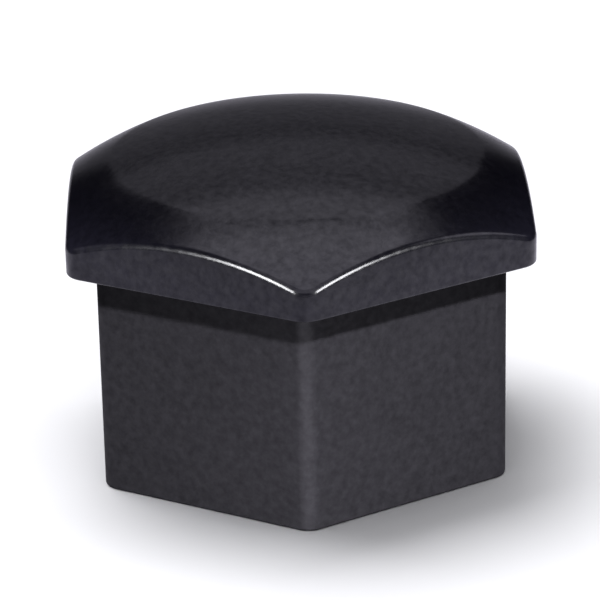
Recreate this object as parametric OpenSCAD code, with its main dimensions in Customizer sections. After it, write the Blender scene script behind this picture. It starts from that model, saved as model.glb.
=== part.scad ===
// Hexagonal push-on cap for a fence post.
// A hollow domed crown is screwed to a sleeve that slips over the post's end. Three spring clips
// inside the sleeve grip the post, and a rubber pad stops it.
// Origin: centre of the sleeve's bottom rim. +Z is up, two flats face +X and -X, a corner faces -Y.

/* [Post] */
// Distance across the flats of the post that the cap fits
post_af = 50; // [46:1:56]
// Gap on each side between the post and the sleeve's wall
post_gap = 1; // [1:0.1:1.2]

/* [Sleeve] */
// Thickness of the sleeve's side walls
sleeve_wall = 2.5; // [2:0.1:3]
// Length of the sleeve below the head
sleeve_length = 33; // [32:0.5:45]
// Radius of the sleeve's outer vertical edges
sleeve_edge_r = 3; // [2:0.1:4]
// Radius of the socket's inner vertical edges
socket_edge_r = 0.8; // [0.5:0.1:1.5]
// Thickness of the plate that closes the sleeve's top and locates the crown
plate_t = 2.5; // [2:0.1:2.6]
// Depth of the lead-in bevel at the socket's mouth
mouth_bevel_h = 1.6; // [1:0.1:2]
// How much wider the mouth is than the socket, on each side
mouth_bevel_w = 0.8; // [0.4:0.1:1]
// Width of each rib that centres the post
rib_w = 1.2; // [1:0.1:2]
// How far each rib stands out of the socket's wall
rib_h = 0.8; // [0.6:0.1:0.9]
// Distance between the middles of the two ribs on a flat
rib_spacing = 17; // [16:0.5:20]
// Height of the ribs' lower ends above the sleeve's bottom rim
rib_start = 3; // [2:0.5:6]

/* [Crown] */
// Distance that the head stands out beyond the sleeve on each side
head_overhang = 4; // [3.8:0.1:5]
// Radius of the head's vertical edges
head_edge_r = 3.5; // [2.5:0.1:4.5]
// Height of the head's side wall at its corners
rim_h = 3.8; // [3.8:0.1:5]
// Radius of the crease where the steep outer band meets the flatter middle
crease_r = 26.5; // [25:0.5:28]
// Height of the crease above the head's underside
crease_h = 10.7; // [10.4:0.1:11]
// Height of the crown's top above the head's underside
crown_h = 15.1; // [14.5:0.1:16]
// Thickness of the crown's wall
crown_wall = 2.6; // [2.2:0.1:2.8]
// Diameter of the bosses that take the screws
boss_d = 7; // [6:0.5:8]

/* [Screws] */
// Distance from the cap's axis to each screw
screw_radius = 19; // [18:0.5:19]
// Outer diameter of the screw's thread
screw_d = 2.9; // [2.9:0.1:3.1]
// Length of the screw under its head
screw_length = 9.5; // [8:0.5:9.5]
// Diameter of the pan head
screw_head_d = 5.6; // [5:0.1:6]
// Height of the pan head
screw_head_h = 2.1; // [1.8:0.1:2.2]

/* [Clips] */
// Thickness of the spring steel
clip_t = 0.5; // [0.4:0.05:0.6]
// Width of the clip
clip_w = 12; // [10:0.5:13]
// Length of the clip's leg down the socket's wall
clip_leg = 26; // [24:0.5:28]
// Inner radius of the bend between the foot and the leg
clip_bend_r = 0.8; // [0.5:0.1:1]
// Width of the tongue lanced out of the leg
tongue_w = 7; // [5:0.5:8]
// Length of the tongue
tongue_l = 12; // [10:0.5:14]
// Angle at which the tongue stands off the leg, in degrees
tongue_angle = 11; // [8:1:14]

/* [Pad] */
// Thickness of the rubber pad
pad_t = 3; // [2.9:0.1:4]

/* [Hidden] */
$fn = 96;

plastic_colour = "#2c2c2f";
rubber_colour = "#1b1b1c";
steel_colour = "#9b9da0";
zinc_colour = "#b9bbbd";

cut = 1;                        // how far a cutting shape reaches past the face that it opens
seat_gap = 0.1;                 // free space between pieces that nest
flats = 6;
arc_shift = 0.01;               // offset that keeps the round edges from being tangent to the flats

// Positions around the axis of the three clips and their screws
right = 0;
back_left = 120;
front_left = 240;
clip_angles = [right, back_left, front_left];

// Sizes across the flats
socket_af = post_af + 2 * post_gap;
sleeve_af = socket_af + 2 * sleeve_wall;
head_af = sleeve_af + 2 * head_overhang;
cavity_af = head_af - 2 * crown_wall;
plate_af = cavity_af - 2 * seat_gap;
pad_af = post_af;

// Levels
underside_z = sleeve_length;
plate_top = underside_z + plate_t;
pad_bottom = underside_z - pad_t;
foot_bottom = underside_z - clip_t;
cavity_edge_r = head_edge_r - crown_wall;

// The steep outer band is part of a sphere through the head's corners and the crease.
// The middle is part of a flatter sphere through the crease and the top.
head_corner = head_af / sqrt(3);
band_z = sphere_centre(head_corner, rim_h, crease_r, crease_h);
band_r = norm([head_corner, rim_h - band_z]);
dome_z = sphere_centre(crease_r, crease_h, 0, crown_h);
dome_r = crown_h - dome_z;

// Screws
screw_clearance_d = screw_d + 0.5;
screw_core_d = screw_d - 0.7;
boss_hole_d = screw_d + 0.1;
boss_hole_depth = screw_length - clip_t - plate_t + 0.5;
thread_pitch = 1.1;
drive_w = 0.7;
drive_l = 3.2;
drive_depth = 1.2;
head_rim_h = 0.7;               // straight part of the pan head's side, under its rounded top

// Clips, drawn for the flat that faces +X
leg_out = socket_af / 2 - seat_gap;
leg_in = leg_out - clip_t;
leg_bottom = underside_z - clip_leg;
window_w = tongue_w + 1;
window_margin = 3;
window_bottom = leg_bottom + window_margin;
window_h = tongue_l + 2;

// Height of the centre of the sphere that passes through two rings on the axis
function sphere_centre(ra, za, rb, zb) = (ra * ra + za * za - rb * rb - zb * zb) / (2 * (za - zb));

// Six-sided prism: flats face 0, 60, 120 degrees and so on
module hex_prism(af, from_z, to_z) {
    rotate(30) translate([0, 0, from_z]) cylinder(d = 2 * af / sqrt(3), h = to_z - from_z, $fn = flats);
}

// Rounds the six vertical edges of its children, which are af across the flats.
// Each arc is set out by arc_shift, so that it crosses the flats at a true edge and isn't tangent.
module round_edges(af, r, from_z, to_z) {
    arc_centre = af / sqrt(3) - r / cos(30);
    difference() {
        children();
        for (k = [0 : flats - 1])
            rotate(30 + 60 * k) difference() {
                translate([arc_centre + r * cos(30), -r, from_z - cut]) cube([r, 2 * r, to_z - from_z + 2 * cut]);
                translate([arc_centre + arc_shift, 0, from_z - 2 * cut])
                    cylinder(r = r, h = to_z - from_z + 4 * cut);
            }
    }
}

module round_hex_prism(af, r, from_z, to_z) {
    round_edges(af, r, from_z, to_z) hex_prism(af, from_z, to_z);
}

// The head's outer shape, or the same shape moved inwards by a depth
module head_shape(depth, edge_r, from_z) {
    af = head_af - 2 * depth;
    to_z = underside_z + crown_h + cut;
    round_edges(af, edge_r, from_z, to_z) intersection() {
        hex_prism(af, from_z, to_z);
        dome(depth);
    }
}

// Solid under the two spheres of the dome, or under the same spheres moved inwards by a depth
module dome(depth) {
    floor_z = -2 * cut;
    translate([0, 0, underside_z]) rotate_extrude() intersection() {
        translate([0, floor_z]) square([head_corner, crown_h - floor_z]);
        translate([0, band_z]) circle(r = band_r - depth);
        translate([0, dome_z]) circle(r = dome_r - depth);
    }
}

module crown() {
    color(plastic_colour) difference() {
        union() {
            difference() {
                head_shape(0, head_edge_r, underside_z);
                head_shape(crown_wall, cavity_edge_r, underside_z - cut);
            }
            intersection() {
                for (a = clip_angles)
                    rotate(a) translate([screw_radius, 0, plate_top]) cylinder(d = boss_d, h = crown_h);
                dome(crown_wall / 2);
            }
        }
        for (a = clip_angles)
            rotate(a) translate([screw_radius, 0, plate_top - cut])
                cylinder(d = boss_hole_d, h = boss_hole_depth + cut);
    }
}

// One rib on the flat that faces +X, with a sloping lower end that guides the post in
module rib(side) {
    wall_x = socket_af / 2;
    translate([0, side * rib_spacing / 2 + rib_w / 2, 0]) rotate([90, 0, 0]) linear_extrude(rib_w)
        polygon([
            [wall_x + sleeve_wall / 2, rib_start],
            [wall_x, rib_start],
            [wall_x - rib_h, rib_start + 2 * rib_h],
            [wall_x - rib_h, underside_z + plate_t / 2],
            [wall_x + sleeve_wall / 2, underside_z + plate_t / 2]
        ]);
}

module sleeve() {
    color(plastic_colour) difference() {
        union() {
            difference() {
                round_hex_prism(sleeve_af, sleeve_edge_r, 0, plate_top - plate_t / 2);
                round_hex_prism(socket_af, socket_edge_r, -cut, underside_z);
                mouth_bevel();
            }
            round_hex_prism(plate_af, cavity_edge_r, underside_z, plate_top);
            for (k = [0 : flats - 1], side = [-1, 1])
                rotate(60 * k) rib(side);
        }
        for (a = clip_angles)
            rotate(a) translate([screw_radius, 0, underside_z - cut])
                cylinder(d = screw_clearance_d, h = plate_t + 2 * cut);
    }
}

// Six-sided lead-in at the socket's mouth
module mouth_bevel() {
    slope = mouth_bevel_w / mouth_bevel_h;
    mouth_af = socket_af + 2 * (mouth_bevel_w + slope * cut);
    rotate(30) translate([0, 0, -cut])
        cylinder(d1 = 2 * mouth_af / sqrt(3), d2 = 2 * socket_af / sqrt(3), h = mouth_bevel_h + cut, $fn = flats);
}

module stop_pad() {
    notch_w = clip_w + 1;
    color(rubber_colour) difference() {
        round_hex_prism(pad_af, socket_edge_r, pad_bottom, underside_z);
        for (a = clip_angles)
            rotate(a) {
                translate([screw_radius, 0, pad_bottom - cut]) cylinder(d = notch_w, h = pad_t + 2 * cut);
                translate([screw_radius, -notch_w / 2, pad_bottom - cut])
                    cube([socket_af, notch_w, pad_t + 2 * cut]);
            }
    }
}

// One clip on the flat that faces +X: a foot under the plate, a bend, and a leg with a lanced tongue
module clip() {
    bend_out = clip_bend_r + clip_t;
    bend_x = leg_out - bend_out;
    bend_z = underside_z - bend_out;
    color(steel_colour) union() {
        difference() {
            union() {
                translate([screw_radius, 0, foot_bottom]) cylinder(d = clip_w, h = clip_t);
                translate([screw_radius, -clip_w / 2, foot_bottom])
                    cube([bend_x - screw_radius, clip_w, clip_t]);
            }
            translate([screw_radius, 0, foot_bottom - cut])
                cylinder(d = screw_clearance_d, h = clip_t + 2 * cut);
        }
        translate([bend_x, clip_w / 2, bend_z]) rotate([90, 0, 0]) linear_extrude(clip_w)
            intersection() {
                difference() {
                    circle(r = bend_out);
                    circle(r = clip_bend_r);
                }
                square(bend_out);
            }
        difference() {
            translate([leg_in, -clip_w / 2, leg_bottom]) cube([clip_t, clip_w, bend_z - leg_bottom]);
            translate([leg_in - cut, -window_w / 2, window_bottom])
                cube([clip_t + 2 * cut, window_w, window_h]);
        }
        translate([leg_in, -tongue_w / 2, window_bottom - clip_t]) rotate([0, -tongue_angle, 0])
            cube([clip_t, tongue_w, tongue_l + clip_t]);
    }
}

// One screw, drawn on the axis of the cap's +X screw position, its head down
module screw() {
    shoulder_r = screw_head_d / 2 - 0.9;
    turns = floor((screw_length - 2) / thread_pitch);
    color(zinc_colour) translate([screw_radius, 0, foot_bottom]) {
        difference() {
            union() {
                translate([0, 0, -head_rim_h]) cylinder(d = screw_head_d, h = head_rim_h);
                translate([0, 0, -screw_head_h])
                    cylinder(r1 = shoulder_r, d2 = screw_head_d, h = screw_head_h - head_rim_h);
            }
            for (a = [0, 90])
                rotate(a) translate([-drive_l / 2, -drive_w / 2, -screw_head_h - cut])
                    cube([drive_l, drive_w, drive_depth + cut]);
        }
        cylinder(d = screw_core_d, h = screw_length - 1);
        translate([0, 0, screw_length - 1]) cylinder(d1 = screw_core_d, d2 = 0.6, h = 1);
        for (k = [1 : turns])
            translate([0, 0, k * thread_pitch]) thread_ridge();
    }
}

// One turn of the thread, as a closed ridge round the core
module thread_ridge() {
    half_h = 0.35;
    translate([0, 0, -half_h]) cylinder(d1 = screw_core_d - 0.1, d2 = screw_d, h = half_h);
    cylinder(d1 = screw_d, d2 = screw_core_d - 0.1, h = half_h);
}

crown();
sleeve();
stop_pad();
rotate(right) clip();  // retaining_clip_right
rotate(back_left) clip();  // retaining_clip_back_left
rotate(front_left) clip();  // retaining_clip_front_left
rotate(right) screw();  // crown_screw_right
rotate(back_left) screw();  // crown_screw_back_left
rotate(front_left) screw();  // crown_screw_front_left
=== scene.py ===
"""Looks of the hexagonal push-on post cap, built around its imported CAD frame. All lengths are in metres."""

import math

import bmesh
import bpy
from mathutils import Matrix, Vector


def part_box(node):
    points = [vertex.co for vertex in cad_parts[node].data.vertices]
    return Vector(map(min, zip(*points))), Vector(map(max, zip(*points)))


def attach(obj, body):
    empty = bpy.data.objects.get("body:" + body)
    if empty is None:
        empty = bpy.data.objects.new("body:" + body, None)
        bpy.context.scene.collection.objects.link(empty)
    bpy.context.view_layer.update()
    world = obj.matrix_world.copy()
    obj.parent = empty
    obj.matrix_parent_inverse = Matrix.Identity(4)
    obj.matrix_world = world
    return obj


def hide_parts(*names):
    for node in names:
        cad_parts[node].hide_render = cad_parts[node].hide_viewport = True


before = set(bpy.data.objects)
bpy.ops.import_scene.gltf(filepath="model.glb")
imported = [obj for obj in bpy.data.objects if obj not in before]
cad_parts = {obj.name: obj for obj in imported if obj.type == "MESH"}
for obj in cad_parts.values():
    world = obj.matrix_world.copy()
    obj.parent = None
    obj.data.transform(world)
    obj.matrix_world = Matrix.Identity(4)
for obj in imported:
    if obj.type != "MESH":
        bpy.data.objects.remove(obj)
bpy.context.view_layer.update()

MM = 0.001

# ---------------------------------------------------------------- sizes, worked out from the frame
crown_low, crown_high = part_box("crown")
sleeve_low, sleeve_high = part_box("sleeve")
pad_low, pad_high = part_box("stop_pad")

HEAD_AF = crown_high.x - crown_low.x
PLATE_AF = sleeve_high.x - sleeve_low.x
PAD_AF = pad_high.x - pad_low.x
UNDERSIDE_Z = crown_low.z
PLATE_TOP_Z = sleeve_high.z
CROWN_H = crown_high.z - crown_low.z

# Sizes that no box shows, as the CAD model has them. AF is the width across the flats, _R a radius, _D a
# diameter, _W a width and _H a height
OVERHANG = 4.0 * MM
SLEEVE_WALL = 2.5 * MM
CROWN_WALL = 2.6 * MM
HEAD_EDGE_R = 3.5 * MM
SLEEVE_EDGE_R = 3.0 * MM
SOCKET_EDGE_R = 0.8 * MM
RIM_H = 3.8 * MM
CREASE_R = 26.5 * MM
CREASE_H = 10.7 * MM
SCREW_RADIUS = 19.0 * MM
SCREW_HOLE_D = 3.4 * MM
BOSS_D = 7.0 * MM
BOSS_HOLE_D = 3.0 * MM
BOSS_HOLE_DEPTH = 7.0 * MM
CLIP_W = 12.0 * MM
MOUTH_BEVEL_H = 1.6 * MM
MOUTH_BEVEL_W = 0.8 * MM
RIB_W = 1.2 * MM
RIB_H = 0.8 * MM
RIB_SPACING = 17.0 * MM
RIB_START = 3.0 * MM
PAD_NOTCH_CLEARANCE = 0.5 * MM
CLIP_ANGLES = (0.0, 120.0, 240.0)

SLEEVE_AF = HEAD_AF - 2 * OVERHANG
SOCKET_AF = SLEEVE_AF - 2 * SLEEVE_WALL

# Small radii that soften the moulded edges, and the height over which the crown's crease is rounded
RIM_TOP_R = 1.4 * MM
RIM_BOTTOM_R = 0.35 * MM
SLEEVE_BOTTOM_R = 0.4 * MM
INNER_R = 0.3 * MM
PAD_R = 0.35 * MM
CREASE_SOFTNESS = 0.06 * MM

# The first is a share of the crown's wall, the others are shares of a rib's width
BOSS_DEPTH_IN_WALL = 0.35
RIB_SIDE_LEAN = 0.12
RIB_COLUMN_GAP = 0.24

# How finely the meshes are divided
CORNER_STEPS = 12
HEAD_CORNER_STEPS = 14
HEAD_FLAT_STEPS = 44
SOCKET_FLAT_STEPS = 30
DOME_RINGS = 26
BAND_RINGS = 18
RIM_TOP_STEPS = 8
RIM_BOTTOM_STEPS = 6
INNER_STEPS = 3
SLEEVE_BOTTOM_STEPS = 8
PAD_CORNER_STEPS = 6
PAD_NOTCH_STEPS = 24
PAD_EDGE_STEPS = 4
BAR_SIDES = 48

# Edges that bend by more than this many degrees stay crisp
CRISP_ANGLE = 40
SLEEVE_CRISP_ANGLE = 34

FLATS = 6
FIRST_CORNER = math.radians(-90)
STEP = math.radians(360 / FLATS)
HALF = STEP / 2


# ---------------------------------------------------------------- outlines and lofts
class HexOutline:
    """A hexagon with round corners. Each column has a base point on the hexagon of the arcs' centres, an
    outward normal and, on a flat, its distance along the flat from the middle. Moving a column along its
    normal gives the outline at any inset."""

    def __init__(self, across_flats, edge_r, per_corner, flat_shares):
        self.edge_r = edge_r
        centre = across_flats / math.sqrt(3) - edge_r / math.cos(HALF)
        self.columns = []
        for k in range(FLATS):
            corner = FIRST_CORNER + STEP * k
            base = centre * Vector((math.cos(corner), math.sin(corner)))
            after = centre * Vector((math.cos(corner + STEP), math.sin(corner + STEP)))
            for i in range(per_corner):
                turn = corner - HALF + STEP * i / per_corner
                self.columns.append((base, Vector((math.cos(turn), math.sin(turn))), None))
            normal = Vector((math.cos(corner + HALF), math.sin(corner + HALF)))
            for share in flat_shares:
                along = (share - 0.5) * (after - base).length
                self.columns.append((base.lerp(after, share), normal, along))

    def ring(self, inset, z):
        """The outline moved inwards by inset, at height z. The inset may be a function of the distance along
        the flat."""
        made = []
        for base, normal, along in self.columns:
            depth = inset(along) if callable(inset) else inset
            flat = base + (self.edge_r - depth) * normal
            made.append(Vector((flat.x, flat.y, z)))
        return made


def even_shares(count):
    return [i / count for i in range(count)]


def circle_ring(outline_ring, radius, z):
    """A circle with one point for each point of an outline, on the same bearing from the axis."""
    made = []
    for p in outline_ring:
        bearing = math.atan2(p.y, p.x)
        made.append(Vector((radius * math.cos(bearing), radius * math.sin(bearing), z)))
    return made


def blend_rings(ring_a, ring_b, share, height):
    """A ring part of the way from one to the other in plan. The function height gives its height from the
    distance to the axis."""
    made = []
    for a, b in zip(ring_a, ring_b):
        p = a.lerp(b, share)
        made.append(Vector((p.x, p.y, height(math.hypot(p.x, p.y)))))
    return made


def loft(name, rings):
    """A closed mesh through rings of equal length. A ring of one point makes a pole, and any other end is
    capped."""
    bm = bmesh.new()
    rows = [[bm.verts.new(p) for p in ring] for ring in rings]
    for lower, upper in zip(rows, rows[1:]):
        count = max(len(lower), len(upper))
        for i in range(count):
            j = (i + 1) % count
            if len(lower) == 1:
                bm.faces.new((lower[0], upper[i], upper[j]))
            elif len(upper) == 1:
                bm.faces.new((lower[i], upper[0], lower[j]))
            else:
                bm.faces.new((lower[i], upper[i], upper[j], lower[j]))
    for end in (rows[0], rows[-1]):
        if len(end) > 2:
            bm.faces.new(end)
    return mesh_object(name, bm)


def mesh_object(name, bm):
    bmesh.ops.recalc_face_normals(bm, faces=bm.faces)
    mesh = bpy.data.meshes.new(name)
    bm.to_mesh(mesh)
    bm.free()
    piece = bpy.data.objects.new(name, mesh)
    bpy.context.scene.collection.objects.link(piece)
    return piece


def smooth(piece, sharp_angle):
    """Smooth shading, with the edges that bend more than sharp_angle degrees kept crisp."""
    piece.data.shade_smooth()
    piece.data.set_sharp_from_angle(angle=math.radians(sharp_angle))


def quarter(radius, start, end, steps):
    """Points of an arc about its centre, from one angle to another, in degrees."""
    for i in range(steps + 1):
        a = math.radians(start + (end - start) * i / steps)
        yield radius * math.cos(a), radius * math.sin(a)


def cylinder(name, centre, diameter, low, high):
    """A closed round bar along Z."""
    ring = []
    for i in range(BAR_SIDES):
        a = 2 * math.pi * i / BAR_SIDES
        ring.append(centre + Vector((math.cos(a), math.sin(a), 0)) * diameter / 2)
    return loft(name, [[Vector((p.x, p.y, z)) for p in ring] for z in (low, high)])


def combine(piece, tools, operation):
    """Adds or cuts closed tool meshes, applies the result to the piece and removes the tools."""
    for tool in tools:
        modifier = piece.modifiers.new(operation.lower(), "BOOLEAN")
        modifier.operation = operation
        modifier.solver = "EXACT"
        modifier.object = tool
    bpy.context.view_layer.update()
    evaluated = piece.evaluated_get(bpy.context.evaluated_depsgraph_get())
    result = bpy.data.meshes.new_from_object(evaluated)
    piece.modifiers.clear()
    piece.data = result
    for tool in tools:
        bpy.data.objects.remove(tool)


def screw_places():
    """Points on the screws' axes, at floor height."""
    for degrees in CLIP_ANGLES:
        a = math.radians(degrees)
        yield Vector((SCREW_RADIUS * math.cos(a), SCREW_RADIUS * math.sin(a), 0))


# ---------------------------------------------------------------- crown
def sphere_through(radius_a, height_a, radius_b, height_b):
    """Centre height and radius of the sphere on the axis through two rings."""
    centre = (radius_a**2 + height_a**2 - radius_b**2 - height_b**2) / (2 * (height_a - height_b))
    return centre, math.hypot(radius_a, height_a - centre)


BAND = sphere_through(HEAD_AF / math.sqrt(3), RIM_H, CREASE_R, CREASE_H)
DOME = sphere_through(CREASE_R, CREASE_H, 0.0, CROWN_H)


def dome_height(radius, depth=0.0):
    """Height above the underside of the lower of the two spheres, with a soft crease where they meet. A depth
    gives the surface that far inside them."""
    band, dome = (centre + math.sqrt((r - depth) ** 2 - radius**2) for centre, r in (BAND, DOME))
    return 0.5 * (band + dome - math.hypot(band - dome, CREASE_SOFTNESS))


def dome_slope(radius):
    """Tangent of the outer band's slope down towards the rim."""
    centre, r = BAND
    return radius / math.sqrt(r**2 - radius**2)


def rim_fillet(outline):
    """Rings of the round edge between the side wall and the dome, from the dome to the wall.
    At each column the arc touches the wall and the dome's tangent plane."""
    rings = []
    for i in range(RIM_TOP_STEPS + 1):
        ring = []
        for base, normal, _ in outline.columns:
            wall = base + outline.edge_r * normal
            radius = wall.length
            rise = dome_slope(radius) * max(0.0, wall.normalized().dot(normal))
            level = dome_height(radius)
            centre_h = level + RIM_TOP_R * (rise - math.hypot(1, rise))
            top = math.atan2(1, -rise)
            a = top + (math.pi - top) * i / RIM_TOP_STEPS
            inset = RIM_TOP_R * (1 + math.cos(a))
            flat = base + (outline.edge_r - inset) * normal
            ring.append(Vector((flat.x, flat.y, UNDERSIDE_Z + centre_h + RIM_TOP_R * math.sin(a))))
        rings.append(ring)
    return rings


def make_crown():
    outline = HexOutline(HEAD_AF, HEAD_EDGE_R, HEAD_CORNER_STEPS, even_shares(HEAD_FLAT_STEPS))
    fillet = rim_fillet(outline)
    crease = circle_ring(fillet[0], CREASE_R, 0)

    def top(radius):
        return UNDERSIDE_Z + dome_height(radius)

    rings = [[Vector((0, 0, top(0)))]]
    rings += [circle_ring(fillet[0], CREASE_R * t, top(CREASE_R * t)) for t in dome_shares(DOME_RINGS)]
    rings += [blend_rings(crease, fillet[0], t, top) for t in band_shares(BAND_RINGS)]
    rings += fillet
    rings.append(outline.ring(0, UNDERSIDE_Z + (RIM_BOTTOM_R + RIM_H) / 2))
    rings += [
        outline.ring(RIM_BOTTOM_R + x, UNDERSIDE_Z + RIM_BOTTOM_R + y)
        for x, y in quarter(RIM_BOTTOM_R, 180, 270, RIM_BOTTOM_STEPS)
    ]
    rings += [
        outline.ring(CROWN_WALL - INNER_R + x, UNDERSIDE_Z + INNER_R + y)
        for x, y in quarter(INNER_R, 270, 360, INNER_STEPS)
    ]
    inner = outline.ring(CROWN_WALL, 0)

    def ceiling(radius):
        return UNDERSIDE_Z + dome_height(radius, CROWN_WALL)

    rings.append([Vector((p.x, p.y, ceiling(math.hypot(p.x, p.y)))) for p in inner])
    inner_crease = circle_ring(inner, CREASE_R, 0)
    rings += [blend_rings(inner, inner_crease, t, ceiling) for t in (0.33, 0.66, 1.0)]
    rings += [circle_ring(inner, CREASE_R * t, ceiling(CREASE_R * t)) for t in (0.8, 0.6, 0.4, 0.2)]
    rings.append([Vector((0, 0, ceiling(0)))])
    crown = loft("crown_shell", rings)

    bosses = [cylinder("boss", c, BOSS_D, PLATE_TOP_Z, boss_top(c)) for c in screw_places()]
    combine(crown, bosses, "UNION")
    holes = [
        cylinder("boss_hole", c, BOSS_HOLE_D, PLATE_TOP_Z - MM, PLATE_TOP_Z + BOSS_HOLE_DEPTH)
        for c in screw_places()
    ]
    combine(crown, holes, "DIFFERENCE")
    smooth(crown, CRISP_ANGLE)
    return crown


def boss_top(centre):
    """Height inside the crown's wall at the outer side of a boss, so that the boss joins the wall and stays
    in it."""
    return UNDERSIDE_Z + dome_height(centre.length + BOSS_D / 2, CROWN_WALL * BOSS_DEPTH_IN_WALL)


def dome_shares(count):
    """Shares of the crease's radius, from the middle outwards, closer together near the crease."""
    return [math.sin(0.5 * math.pi * (i + 1) / count) for i in range(count)]


def band_shares(count):
    """Shares of the way from the crease to the rim, closer together near the crease."""
    return [((i + 1) / count) ** 1.6 for i in range(count - 1)]


# ---------------------------------------------------------------- sleeve
def rib_shares():
    """Columns along a flat of the socket: an even set, and the four edges of each of the two ribs."""
    flat = SOCKET_AF / math.sqrt(3) - SOCKET_EDGE_R / math.cos(HALF)
    edges = [side * (RIB_SPACING / 2 + offset) / flat + 0.5 for side in (-1, 1) for offset in rib_edges()]
    gap = RIB_COLUMN_GAP * RIB_W / flat
    evenly = [s for s in even_shares(SOCKET_FLAT_STEPS) if all(abs(s - e) > gap for e in edges)]
    return sorted(evenly + edges)


def rib_edges():
    """Distances from a rib's middle to the feet and the shoulders of its sides."""
    lean = RIB_SIDE_LEAN * RIB_W
    return (-RIB_W / 2 - lean, -RIB_W / 2 + lean, RIB_W / 2 - lean, RIB_W / 2 + lean)


def rib_inset(along, strength):
    """How far the socket's wall comes inwards at a distance along a flat, which is None at a corner. A
    strength of 1 is a rib's full height."""
    if along is None:
        return 0.0
    shoulder, foot = rib_edges()[2:]
    offset = min((abs(along) - RIB_SPACING / 2, foot), key=abs)
    share = (foot - abs(offset)) / (foot - shoulder)
    return RIB_H * strength * min(1.0, max(0.0, share))


def make_sleeve():
    shares = rib_shares()
    outside = HexOutline(SLEEVE_AF, SLEEVE_EDGE_R, CORNER_STEPS, shares)
    socket = HexOutline(SOCKET_AF, SOCKET_EDGE_R, CORNER_STEPS, shares)
    plate = HexOutline(PLATE_AF, HEAD_EDGE_R - CROWN_WALL, CORNER_STEPS, shares)

    def wall(z, strength):
        return socket.ring(lambda along: rib_inset(along, strength), z)

    rings = [wall(UNDERSIDE_Z, 1), wall(UNDERSIDE_Z * 0.66, 1), wall(UNDERSIDE_Z * 0.33, 1)]
    rings += [wall(RIB_START + 2 * RIB_H, 1), wall(RIB_START, 0), wall(MOUTH_BEVEL_H, 0)]
    rings.append(socket.ring(-MOUTH_BEVEL_W, 0))
    rings += [
        outside.ring(SLEEVE_BOTTOM_R - x, SLEEVE_BOTTOM_R - y)
        for x, y in quarter(SLEEVE_BOTTOM_R, 90, 0, SLEEVE_BOTTOM_STEPS)
    ]
    rings += [outside.ring(0, UNDERSIDE_Z * t) for t in (0.25, 0.5, 0.75, 1.0)]
    rings += [plate.ring(0, UNDERSIDE_Z), plate.ring(0, PLATE_TOP_Z - INNER_R)]
    rings.append(plate.ring(INNER_R, PLATE_TOP_Z))
    sleeve = loft("post_sleeve", rings)
    holes = [cylinder("hole", c, SCREW_HOLE_D, UNDERSIDE_Z - MM, PLATE_TOP_Z + MM) for c in screw_places()]
    combine(sleeve, holes, "DIFFERENCE")
    smooth(sleeve, SLEEVE_CRISP_ANGLE)
    return sleeve


# ---------------------------------------------------------------- stop pad
def pad_outline():
    """The pad's plan: a hexagon with round corners and notches for the clips' feet. Known fault: the notch
    for the right clip is missing, as that flat's bearing comes out as 360 degrees and never matches 0."""
    notch = CLIP_W / 2 + PAD_NOTCH_CLEARANCE
    edge_x = PAD_AF / 2
    middle_x = edge_x * 0.5 + SCREW_RADIUS * 0.5
    centre = PAD_AF / math.sqrt(3) - SOCKET_EDGE_R / math.cos(HALF)
    points = []
    for k in range(FLATS):
        corner = FIRST_CORNER + STEP * k
        base = centre * Vector((math.cos(corner), math.sin(corner)))
        for i in range(PAD_CORNER_STEPS + 1):
            a = corner - HALF + STEP * i / PAD_CORNER_STEPS
            points.append(base + SOCKET_EDGE_R * Vector((math.cos(a), math.sin(a))))
        facing = math.degrees(corner + HALF) % 360
        if any(abs(facing - clip) < 1 for clip in CLIP_ANGLES):
            turn = Matrix.Rotation(corner + HALF, 2)
            local = [Vector((edge_x, -notch)), Vector((middle_x, -notch))]
            for i in range(PAD_NOTCH_STEPS + 1):
                a = math.radians(-90 - 180 * i / PAD_NOTCH_STEPS)
                local.append(Vector((SCREW_RADIUS + notch * math.cos(a), notch * math.sin(a))))
            local += [Vector((middle_x, notch)), Vector((edge_x, notch))]
            points += [turn @ p for p in local]
    return points


def inset_outline(points, inset):
    """A closed outline, drawn anticlockwise, moved inwards by inset."""
    made = []
    for i, p in enumerate(points):
        before = (p - points[i - 1]).normalized()
        after = (points[(i + 1) % len(points)] - p).normalized()
        inward_a = Vector((-before.y, before.x))
        inward_b = Vector((-after.y, after.x))
        made.append(p + (inward_a + inward_b) * inset / (1 + inward_a.dot(inward_b)))
    return made


def make_pad():
    plan = pad_outline()
    rings = []
    for level, sign in ((pad_low.z + PAD_R, -1), (pad_high.z - PAD_R, 1)):
        arc = list(quarter(PAD_R, 0, 90, PAD_EDGE_STEPS))
        if sign < 0:
            arc.reverse()
        for x, y in arc:
            ring = inset_outline(plan, PAD_R - x)
            rings.append([Vector((p.x, p.y, level + sign * y)) for p in ring])
    pad = loft("stop_pad_rubber", rings)
    smooth(pad, CRISP_ANGLE)
    return pad


# ---------------------------------------------------------------- materials
# The part of a noise's range that is used. Few of its values lie outside it
NOISE_LOW = 0.3
NOISE_HIGH = 0.7


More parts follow.
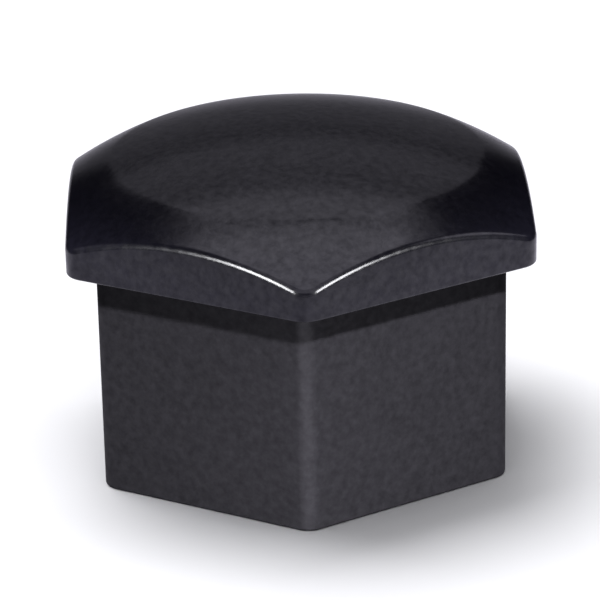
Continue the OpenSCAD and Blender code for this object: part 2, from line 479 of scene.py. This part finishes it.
class Nodes:
    """A material's node tree, with short calls to add and join nodes."""

    def __init__(self, name):
        self.material = bpy.data.materials.new(name)
        self.material.use_nodes = True
        self.tree = self.material.node_tree
        self.shader = self.tree.nodes["Principled BSDF"]
        self.place = self.add("ShaderNodeTexCoord").outputs["Object"]

    def add(self, kind):
        return self.tree.nodes.new(kind)

    def join(self, source, target):
        self.tree.links.new(source, target)

    def noise(self, scale, detail=2.0, roughness=0.5, stretch=None):
        source = self.place
        if stretch:
            mapping = self.add("ShaderNodeMapping")
            mapping.inputs["Scale"].default_value = stretch
            self.join(source, mapping.inputs["Vector"])
            source = mapping.outputs["Vector"]
        node = self.add("ShaderNodeTexNoise")
        node.inputs["Scale"].default_value = scale
        node.inputs["Detail"].default_value = detail
        node.inputs["Roughness"].default_value = roughness
        self.join(source, node.inputs["Vector"])
        return node.outputs["Fac"]

    def ranged(self, source, low, high):
        node = self.add("ShaderNodeMapRange")
        node.inputs["From Min"].default_value = NOISE_LOW
        node.inputs["From Max"].default_value = NOISE_HIGH
        node.inputs["To Min"].default_value = low
        node.inputs["To Max"].default_value = high
        self.join(source, node.inputs["Value"])
        return node.outputs["Result"]

    def colours(self, source, dark, light):
        ramp = self.add("ShaderNodeValToRGB")
        ramp.color_ramp.elements[0].position = NOISE_LOW
        ramp.color_ramp.elements[1].position = NOISE_HIGH
        ramp.color_ramp.elements[0].color = (*dark, 1)
        ramp.color_ramp.elements[1].color = (*light, 1)
        self.join(source, ramp.inputs["Fac"])
        return ramp.outputs["Color"]

    def bump(self, height, strength, distance):
        node = self.add("ShaderNodeBump")
        node.inputs["Strength"].default_value = strength
        node.inputs["Distance"].default_value = distance
        self.join(height, node.inputs["Height"])
        return node.outputs["Normal"]

    def set(self, **sockets):
        for key, value in sockets.items():
            self.shader.inputs[key.replace("_", " ")].default_value = value

    def drive(self, socket, source):
        self.join(source, self.shader.inputs[socket])


# Each black is its dark tone, its light tone and its roughness
SATIN_BLACK = ((0.0038, 0.0036, 0.0060), (0.0061, 0.0058, 0.0094), 0.22)
MATT_BLACK = ((0.0142, 0.0140, 0.0149), (0.0225, 0.0222, 0.0235), 0.6)
RUBBER_DARK = (0.012, 0.012, 0.012)
RUBBER_LIGHT = (0.026, 0.026, 0.025)
SPRING_STEEL = (0.50, 0.50, 0.52)
ZINC = (0.70, 0.72, 0.76)

# Strength and depth of each material's relief
GRAIN_BUMP = 0.35
GRAIN_DEPTH = 0.03 * MM
PORE_BUMP = 0.6
PORE_DEPTH = 0.15 * MM
LINE_BUMP = 0.25
LINE_DEPTH = 0.04 * MM


def black_plastic(name, dark, light, roughness):
    """Black moulded plastic with a fine grain in its colour, roughness, height and strength of gloss."""
    n = Nodes(name)
    tone = n.noise(scale=850, detail=2, roughness=0.6)
    gloss = n.noise(scale=900, detail=3, roughness=0.6)
    height = n.noise(scale=1100, detail=2, roughness=0.6)
    n.drive("Base Color", n.colours(tone, dark, light))
    n.drive("Roughness", n.ranged(gloss, roughness - 0.04, roughness + 0.05))
    n.drive("Normal", n.bump(height, GRAIN_BUMP, GRAIN_DEPTH))
    n.drive("Coat Weight", n.ranged(gloss, 0.2, 0.8))
    n.set(IOR=1.5, Specular_IOR_Level=0.25, Coat_IOR=1.5, Coat_Roughness=roughness)
    return n.material


def pad_rubber(name):
    """Matt closed-cell rubber with small open pores."""
    n = Nodes(name)
    tone = n.noise(scale=600, detail=4)
    gloss = n.noise(scale=900, detail=3)
    pores = n.noise(scale=2600, detail=3, roughness=0.7)
    n.drive("Base Color", n.colours(tone, RUBBER_DARK, RUBBER_LIGHT))
    n.drive("Roughness", n.ranged(gloss, 0.75, 0.92))
    n.drive("Normal", n.bump(pores, PORE_BUMP, PORE_DEPTH))
    return n.material


def rolled_steel(name, tint, roughness, stretch):
    """Bare or plated steel with a fine texture. A stretch below 1 along an axis draws it out into lines."""
    n = Nodes(name)
    tone = n.noise(scale=260, detail=4, roughness=0.6)
    lines = n.noise(scale=500, detail=3, roughness=0.6, stretch=stretch)
    dark = tuple(c * 0.8 for c in tint)
    n.drive("Base Color", n.colours(tone, dark, tint))
    n.drive("Roughness", n.ranged(lines, roughness - 0.06, roughness + 0.1))
    n.drive("Normal", n.bump(lines, LINE_BUMP, LINE_DEPTH))
    n.set(Metallic=1.0)
    return n.material


def dress(piece, material):
    piece.data.materials.clear()
    piece.data.materials.append(material)


# ---------------------------------------------------------------- the pieces
crown = make_crown()
dress(crown, black_plastic("crown_black", *SATIN_BLACK))
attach(crown, "root")
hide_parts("crown")

sleeve = make_sleeve()
dress(sleeve, black_plastic("sleeve_black", *MATT_BLACK))
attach(sleeve, "root")
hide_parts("sleeve")

pad = make_pad()
dress(pad, pad_rubber("pad_rubber_black"))
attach(pad, "root")
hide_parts("stop_pad")

spring_steel = rolled_steel("spring_steel", SPRING_STEEL, 0.36, (1.0, 1.0, 0.06))
zinc_plate = rolled_steel("zinc_plate", ZINC, 0.32, (1.0, 1.0, 1.0))
for name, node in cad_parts.items():
    if name.startswith("retaining_clip"):
        dress(node, spring_steel)
    if name.startswith("crown_screw"):
        dress(node, zinc_plate)


# ---------------------------------------------------------------- studio
# The strips' azimuth, elevation, width and height are in degrees, and every other size here is a length
AIM_HEIGHT_SHARE = 0.44
AIM = Vector((0.0, 0.0, AIM_HEIGHT_SHARE * crown_high.z))
UP = Vector((0, 0, 1))
DOWN = Vector((0, 0, -1))
FLOOR_HALF = 4.0
FLOOR_DARK = (0.86, 0.86, 0.865)
FLOOR_LIGHT = (0.88, 0.88, 0.885)
SOFTBOX_DISTANCE = 0.8
FLOOR_LAMP_DISTANCE = 3.0
CARD_DROP = 0.03
MOUTH_LAMP_Z = 0.001
MOUTH_LAMP_SIDE = 0.04
STRIP_AZIMUTH = 46.5
STRIP_ELEVATION = 28
STRIP_WIDTH = 9
STRIP_HEIGHT = 42
FLAG_DISTANCE = 0.043
FLAG_BOTTOM = 0.0465
FLAG_WIDTH = 0.1
FLAG_HEIGHT = 0.12
WHITE = (0.97, 0.97, 1.0)
COOL = (0.90, 0.87, 1.0)
BACKDROP = (0.93, 0.94, 0.96, 1)
BACKDROP_STRENGTH = 0.9
CLIPS_AND_SCREWS = [
    node for name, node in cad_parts.items() if name.startswith(("retaining_clip", "crown_screw"))
]


def make_floor():
    """A large pale sheet. It shows only from above, so that the open end can be looked at from below."""
    bm = bmesh.new()
    bmesh.ops.create_grid(bm, x_segments=8, y_segments=8, size=FLOOR_HALF)
    sheet = mesh_object("floor", bm)
    n = Nodes("studio_white")
    n.drive("Base Color", n.colours(n.noise(scale=3), FLOOR_DARK, FLOOR_LIGHT))
    n.set(Roughness=0.75, Specular_IOR_Level=0.2)
    mix = n.add("ShaderNodeMixShader")
    n.join(n.add("ShaderNodeNewGeometry").outputs["Backfacing"], mix.inputs[0])
    n.join(n.shader.outputs[0], mix.inputs[1])
    n.join(n.add("ShaderNodeBsdfTransparent").outputs[0], mix.inputs[2])
    n.join(mix.outputs[0], n.tree.nodes["Material Output"].inputs["Surface"])
    dress(sheet, n.material)
    sheet.visible_diffuse = False
    sheet.visible_glossy = False
    return sheet


def group(name, objects):
    collection = bpy.data.collections.new(name)
    for o in objects:
        collection.objects.link(o)
    return collection


def way_to(azimuth, elevation):
    """Unit vector from the cap, from angles in degrees. Azimuth 0 is in front of it, and positive is towards
    the right of the picture."""
    a, e = math.radians(azimuth), math.radians(elevation)
    return Vector((math.sin(a) * math.cos(e), -math.cos(a) * math.cos(e), math.sin(e)))


def lamp(name, lit, place, back, width, height, radiance, colour):
    """A rectangular lamp that lights one group of pieces and shines away from the direction back. The
    radiance of its face is in units of white, and only the pieces block it."""
    light = bpy.data.lights.new(name, "AREA")
    light.shape = "RECTANGLE"
    light.size = width
    light.size_y = height
    light.energy = math.pi * width * height * radiance
    light.color = colour
    made = bpy.data.objects.new(name, light)
    bpy.context.scene.collection.objects.link(made)
    made.location = place
    made.rotation_euler = back.to_track_quat("Z", "Y").to_euler()
    made.light_linking.receiver_collection = lit
    made.light_linking.blocker_collection = pieces_only
    made.visible_camera = False
    return made


def softbox(name, lit, azimuth, elevation, width, height, level, colour=COOL, distance=SOFTBOX_DISTANCE):
    """A lamp that faces the cap. Its width and height are the angles that the cap sees, in degrees, and level
    is how bright it makes a white card that faces it."""
    way = way_to(azimuth, elevation)
    w, h = (2 * distance * math.tan(math.radians(angle / 2)) for angle in (width, height))
    radiance = level * math.pi * distance**2 / (w * h)
    return lamp(name, lit, AIM + way * distance, way, w, h, radiance, colour)


def flag(side):
    """A hidden black card close to one side of the head, which keeps that side's strip light off the top of
    the dome."""
    way = way_to(side * STRIP_AZIMUTH, 0)
    foot = way * FLAG_DISTANCE + UP * FLAG_BOTTOM
    rise = UP * FLAG_HEIGHT
    half = way.cross(UP) * FLAG_WIDTH / 2
    corners = (foot - half, foot + half, foot + half + rise, foot - half + rise)
    bm = bmesh.new()
    bm.faces.new([bm.verts.new(p) for p in corners])
    card = mesh_object(f"flag_{side}", bm)
    dress(card, black_plastic(f"flag_black_{side}", *MATT_BLACK))
    card.visible_camera = False
    card.visible_diffuse = False
    card.visible_glossy = False
    return card


def floor_card(name, lit, azimuth, out, width, depth, radiance):
    """A lamp flat under the floor, which shines up through it as the bright floor's own light would. Its
    middle is at the distance out from the axis, towards azimuth."""
    a = math.radians(azimuth)
    place = Vector((out * math.sin(a), -out * math.cos(a), -CARD_DROP))
    lamp(name, lit, place, DOWN, width, depth, radiance, COOL)


floor = make_floor()
crown_lit = group("crown_lit", [crown])
sleeve_lit = group("sleeve_lit", [sleeve, pad, *CLIPS_AND_SCREWS])
floor_lit = group("floor_lit", [floor])
pieces_only = group("pieces_only", [crown, sleeve, pad, *CLIPS_AND_SCREWS])

# The floor's shadow is the direct one only, with no light sent back by the pieces above it
for piece in (crown, sleeve):
    piece.visible_diffuse = False

# Two tall strips draw the white line along the head's top edge
for side, level in ((-1, 2.1), (1, 1.8)):
    azimuth = side * STRIP_AZIMUTH
    strip = softbox(
        f"strip_{side}", crown_lit, azimuth, STRIP_ELEVATION, STRIP_WIDTH, STRIP_HEIGHT, level, WHITE
    )
    strip.light_linking.blocker_collection = group(f"strip_blockers_{side}", [crown, flag(side)])

# The crown's softboxes: name, azimuth, elevation, width, height and level
for name, *numbers in (
    ("front_low", 5, 3, 50, 8, 0.03),
    ("front_high", 0, 50, 60, 36, 0.2),
    ("side_left", -90, 30, 26, 16, 0.01),
    ("side_right", 88, 38, 26, 16, 0.06),
    ("back_left", -112, 62, 30, 14, 0.008),
    ("back_right", 118, 62, 30, 14, 0.02),
    ("back_high", 180, 61, 40, 20, 0.068),
    ("back_mid", 180, 38, 50, 20, 0.028),
    ("back_low", 180, 12, 40, 26, 0.0115),
    ("overhead", 0, 88, 50, 34, 0.26),
):
    softbox(name, crown_lit, *numbers)

# Its floor cards: name, azimuth, distance out, width, depth and radiance
for name, *numbers in (
    ("back_floor", 180, 1.2, 2.0, 1.6, 0.25),
    ("bounce_left", -90, 0.2, 0.4, 0.8, 0.6),
    ("bounce_right", 90, 0.2, 0.4, 0.8, 0.82),
):
    floor_card(name, crown_lit, *numbers)

# The same for the sleeve and what is inside it
for name, *numbers in (
    ("sleeve_key", 4, 46, 8, 2.5, 1.05),
    ("sleeve_right", 52, 47, 6, 2.5, 1.0),
    ("sleeve_left", -52, 50, 6, 2.5, 0.55),
    ("sleeve_back_left", -125, 46, 20, 8, 1.5),
    ("sleeve_back_right", 145, 46, 20, 8, 1.5),
):
    softbox(name, sleeve_lit, *numbers)

for name, *numbers in (
    ("edge_glow", 0, 0.115, 0.08, 0.07, 5.0),
    ("sleeve_bounce", 0, 0, 0.8, 0.8, 0.13),
):
    floor_card(name, sleeve_lit, *numbers)

# A small lamp in the mouth of the socket shows the clips, screws and pad from below
mouth = Vector((0, 0, MOUTH_LAMP_Z))
lamp("socket_glow", sleeve_lit, mouth, DOWN, MOUTH_LAMP_SIDE, MOUTH_LAMP_SIDE, 5.0, COOL)

softbox("floor_key", floor_lit, -143, 70, 38, 32, 0.95, WHITE, FLOOR_LAMP_DISTANCE)
softbox("floor_top", floor_lit, 0, 89, 60, 60, 0.85, WHITE, FLOOR_LAMP_DISTANCE)

# The world is only a backdrop. It lights nothing
world = bpy.data.worlds.new("studio")
bpy.context.scene.world = world
world.use_nodes = True
background = world.node_tree.nodes["Background"]
background.inputs["Color"].default_value = BACKDROP
background.inputs["Strength"].default_value = BACKDROP_STRENGTH
world.cycles_visibility.diffuse = False
world.cycles_visibility.glossy = False

# ---------------------------------------------------------------- camera
CAMERA_AZIMUTH = math.radians(-1.15)
CAMERA_ELEVATION = math.radians(22.3)
CAMERA_ROLL = math.radians(-1.21)
CAMERA_DISTANCE = 0.46
CAMERA_LENS = 191.0
CAMERA_CLIP_START = 0.01

camera = bpy.data.objects.new("camera", bpy.data.cameras.new("camera"))
bpy.context.scene.collection.objects.link(camera)
camera.data.lens = CAMERA_LENS
camera.data.clip_start = CAMERA_CLIP_START
reach = Vector((
    math.sin(CAMERA_AZIMUTH) * math.cos(CAMERA_ELEVATION),
    -math.cos(CAMERA_AZIMUTH) * math.cos(CAMERA_ELEVATION),
    math.sin(CAMERA_ELEVATION),
))
camera.location = AIM + reach * CAMERA_DISTANCE
look = reach.to_track_quat("Z", "Y").to_matrix() @ Matrix.Rotation(CAMERA_ROLL, 3, "Z")
camera.rotation_euler = look.to_euler()
bpy.context.scene.camera = camera
bpy.context.scene.view_settings.view_transform = "Standard"
